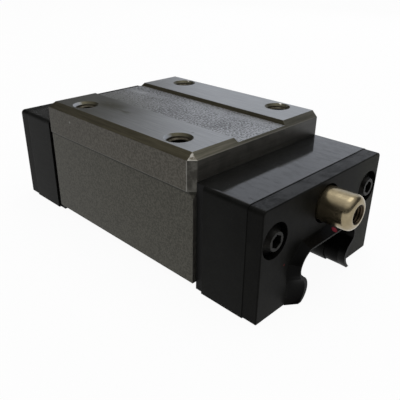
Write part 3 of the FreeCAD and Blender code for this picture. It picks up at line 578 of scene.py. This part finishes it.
def nipple_surface():
    """The nipple turned about its axis, along X. Its outline is a closed path of (x, radius) points:
    the throat, the tapped bore, the rounded mouth, the nose's quarter circle, the barrel, and the
    shank. In the bore the radius is less by the ridge at (x / pitch + angle / full turn)."""
    outside, shank, throat = 3.0, 2.0, 0.7
    nose, mouth, shank_chamfer = 1.25, 0.2, 0.35
    pitch, ridge = 0.5, 0.17
    steps_around, steps_in_bore, steps_on_bend, steps_on_barrel = 128, 90, 14, 24
    back, face, seat = nipple_low[0], nipple_high[0], cap_high[0]
    bore = nose_bore["dims"]["r_mm"]
    floor_of_bore = face - nose_bore["dims"]["length_mm"]
    bend = np.linspace(0, math.pi / 2, steps_on_bend)
    path = [
        (np.linspace(back, floor_of_bore, 4), np.full(4, throat)),
        (np.linspace(floor_of_bore, face - mouth - 0.1, steps_in_bore), np.full(steps_in_bore, bore)),
        (face - mouth * (1 - np.sin(bend)), bore + mouth * (1 - np.cos(bend))),
        (face - nose * (1 - np.cos(bend)), outside - nose * (1 - np.sin(bend))),
        (np.linspace(face - nose - 0.2, seat + 0.05, steps_on_barrel), np.full(steps_on_barrel, outside)),
        (np.array([seat, seat, back + shank_chamfer, back]),
         np.array([outside - 0.05, shank, shank, shank - shank_chamfer])),
    ]
    x, radius = (np.concatenate(values) for values in zip(*path))
    angles = np.linspace(0, TURN, steps_around, endpoint=False)
    turn, along = np.meshgrid(angles, x, indexing="ij")
    radii = np.repeat(radius[None, :], len(angles), 0)
    tapped = (np.abs(radii - bore) < 0.01) & (along > floor_of_bore) & (along < face - mouth)
    radii = np.where(tapped, radii - ridge * thread_ridge(along / pitch + turn / TURN), radii)
    return np.stack([along, radii * np.cos(turn), NIPPLE_HEIGHT + radii * np.sin(turn)], 2)[None]


def dress(nodes, finish):
    """Gives CAD nodes a finish."""
    for node in nodes:
        materials = frame["nodes"][node].data.materials
        materials.clear()
        materials.append(finish)


names = sorted(frame["nodes"])
dress(["steel_body"], ground_steel())
dress(["front_end_cap", "rear_end_cap"],
      moulded_plastic("black_plastic", (0.0044, 0.0045, 0.0038), (0.0080, 0.0082, 0.0074), 0.95))
dress(["front_end_seal", "rear_end_seal", "left_bottom_seal", "right_bottom_seal"], seal_rubber())
dress(["front_cap_screws", "rear_cap_screws", "rear_lube_plug"], black_oxide())
dress([name for name in names if "retainer" in name or "guide" in name],
      moulded_plastic("guide_plastic", (0.005, 0.005, 0.005), (0.010, 0.010, 0.0095), 0.3))
dress([name for name in names if "balls" in name], ball_steel())

hole_places = [(x, y) for x in (-half_x, half_x) for y in (-half_y, half_y)]
grid_piece("mounting_threads", tapped_walls(hole_places), thread_steel())
nipple = grid_piece("turned_nipple", nipple_surface(), plated_steel())
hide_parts("grease_nipple")


# ---------------------------------------------------------------- floor, light and camera

WHITE = (1.0, 1.0, 1.0)


def floor():
    """A plain white floor that keeps a soft shadow. Seen directly or mirrored it is nearly white."""
    f = Finish("floor")
    from_camera, mirrored = f.rays()
    matt = f.node("ShaderNodeBsdfDiffuse", {}, {"Color": (0.85, 0.85, 0.85, 1)})
    glow = f.node("ShaderNodeEmission", {}, {"Color": (*WHITE, 1), "Strength": 1.0})
    shader = f.node("ShaderNodeMixShader", {}, {0: from_camera.most(mirrored) * 0.95, 1: matt, 2: glow})
    reach = 1.5
    level = cad_box[0][2]
    mesh = bpy.data.meshes.new("floor")
    mesh.from_pydata([(-reach, -reach, level), (reach, -reach, level), (reach, reach, level),
                      (-reach, reach, level)], [], [(0, 1, 2, 3)])
    mesh.materials.append(f.output(shader))
    piece = add_object("floor", mesh)


def sky():
    """Light from all round: dim low down and bright overhead. Seen directly it is white, and so is
    its lowest part where it is mirrored."""
    dim_up_to, bright_from, mirrored_white_up_to = 0.50, 0.85, 0.12
    dim = (0.08, 0.08, 0.08)
    world = bpy.data.worlds.new("studio")
    bpy.context.scene.world = world
    n = Nodes(world)
    height = n.split(n.node("ShaderNodeTexCoord", output="Generated"))[2]
    light = n.node("ShaderNodeValToRGB", {"stops": [(dim_up_to, dim), (bright_from, WHITE)]}, {"Fac": height})
    from_camera, mirrored = n.rays()
    white = from_camera.most(mirrored * height.below(mirrored_white_up_to))
    background = n.node("ShaderNodeBackground", {}, {"Color": n.mix(white, light, WHITE), "Strength": 1.0})
    n.node("ShaderNodeOutputWorld", {}, {"Surface": background})


def bearing(azimuth, elevation):
    """The direction of a place seen from the origin. Azimuth is counted from -Y towards +X, and both
    angles are in degrees."""
    turn, rise = math.radians(azimuth), math.radians(elevation)
    return np.array([math.sin(turn) * math.cos(rise), -math.cos(turn) * math.cos(rise), math.sin(rise)])


def view_axes(back, roll=0.0):
    """The right and up directions of a light or camera that looks against the direction back."""
    level = np.cross([0, 0, 1], back)
    right = level / np.linalg.norm(level)
    up = np.cross(back, right)
    return (math.cos(roll) * right + math.sin(roll) * up,
            -math.sin(roll) * right + math.cos(roll) * up)


def settle(thing, right, up, back, place):
    """Gives a light or camera its axes and its place, in metres."""
    matrix = np.eye(4)
    matrix[:3] = np.stack([right, up, back, place], 1)
    thing.matrix_world = Matrix(matrix.tolist())


def softbox(name, azimuth, elevation, distance, width, height, radiance, tint=WHITE):
    """A flat square light that looks at the object, with lengths in metres. Its power is radiance x
    area x pi."""
    lamp = bpy.data.lights.new(name, "AREA")
    lamp.shape = "RECTANGLE"
    lamp.size = width
    lamp.size_y = height
    lamp.energy = radiance * width * height * math.pi
    lamp.color = tint
    thing = add_object(name, lamp)
    back = bearing(azimuth, elevation)
    settle(thing, *view_axes(back), back, back * distance)
    thing.visible_camera = False


def camera():
    """The camera, by its bearing and distance from a point on the object's axis, and by how far it is
    moved to the right and up, in metres."""
    aim = np.array([0, 0, -0.010608])
    distance, to_the_right, upwards = 0.101417, 0.0036216, -0.0086522
    data = bpy.data.cameras.new("camera")
    data.lens = 45.29
    data.sensor_width = 36.0
    data.clip_start = 0.005
    data.clip_end = 20.0
    thing = add_object("camera", data)
    back = bearing(44.474, 26.447)
    right, up = view_axes(back, roll=0.01152)
    settle(thing, right, up, back, aim + distance * back + to_the_right * right + upwards * up)
    bpy.context.scene.camera = thing


floor()
sky()
softbox("window_light", azimuth=197, elevation=25, distance=0.40, width=0.46, height=0.26, radiance=0.77,
        tint=(0.94, 0.99, 1.10))
softbox("top_light", azimuth=180, elevation=80, distance=0.45, width=0.30, height=0.30, radiance=2.0)
camera()
bpy.context.scene.view_settings.view_transform = "Standard"
